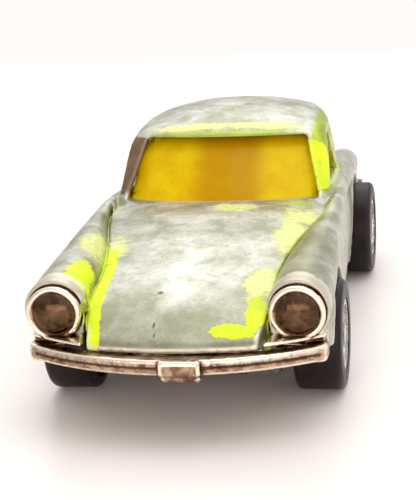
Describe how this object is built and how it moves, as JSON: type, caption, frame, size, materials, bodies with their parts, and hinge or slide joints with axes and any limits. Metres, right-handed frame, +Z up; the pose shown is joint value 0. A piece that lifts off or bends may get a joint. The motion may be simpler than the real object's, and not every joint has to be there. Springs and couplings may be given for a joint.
{
  "type": "pull back car",
  "caption": "Die-cast toy coupe with tinted windows, plated bumper and lamps, and a geared pull-back spring motor on the rear axle.",
  "frame": {"origin": "on the ground plane, under the middle of the car's overall length and width", "axes": "+Z up, nose towards -Y, the car's left side towards +X"},
  "size_m": [0.0298, 0.071, 0.023],
  "materials": {
    "shell": "die-cast zinc, mostly bare and worn, remains of lime enamel",
    "amber": "clear amber moulding",
    "interior": "dark moulded plastic",
    "trim": "worn vacuum plating, bronze tone",
    "base": "pressed plate, dark and scuffed",
    "rivet": "satin",
    "steel": "drawn wire",
    "wheel": "black moulded plastic, worn on the tread",
    "disc": "vacuum plated",
    "motor": "natural moulded plastic",
    "gear": "natural acetal",
    "spring": "blued strip"
  },
  "bodies": {
    "car": {"body_shell": "shell", "window_glazing": "amber", "interior_tray": "interior", "front_trim": "trim", "rear_bumper": "trim", "base_plate": "base", "base_rivets": "rivet", "motor_case": "motor", "motor_cover": "motor", "transfer_pin": "steel", "motor_screws": "steel", "mainspring": "spring"},
    "front_wheels": {"front_axle": "steel", "front_wheel_left": "wheel", "front_wheel_right": "wheel", "front_disc_left": "disc", "front_disc_right": "disc"},
    "rear_wheels": {"rear_axle": "steel", "rear_wheel_left": "wheel", "rear_wheel_right": "wheel", "rear_disc_left": "disc", "rear_disc_right": "disc", "axle_pinion": "gear"},
    "transfer": {"transfer_gear": "gear"},
    "arbor": {"arbor_gear": "gear", "spring_arbor": "steel"}
  },
  "joints": [
    {"name": "front_axle_spin", "type": "hinge", "parent": "car", "child": "front_wheels", "pos_m": [0, -0.0195, 0.0055], "axis": [1, 0, 0], "continuous": true},
    {"name": "rear_axle_spin", "type": "hinge", "parent": "car", "child": "rear_wheels", "pos_m": [0, 0.0195, 0.0055], "axis": [1, 0, 0], "continuous": true},
    {"name": "transfer_gear_spin", "type": "hinge", "parent": "car", "child": "transfer", "pos_m": [0, 0.02189, 0.01], "axis": [1, 0, 0], "continuous": true},
    {"name": "arbor_spin", "type": "hinge", "parent": "car", "child": "arbor", "pos_m": [0, 0.0168, 0.01018], "axis": [1, 0, 0], "continuous": true}
  ],
  "couplings": [
    {"joint": "transfer_gear_spin", "follows": "rear_axle_spin", "ratio": -0.41667},
    {"joint": "arbor_spin", "follows": "rear_axle_spin", "ratio": 0.17361}
  ]
}
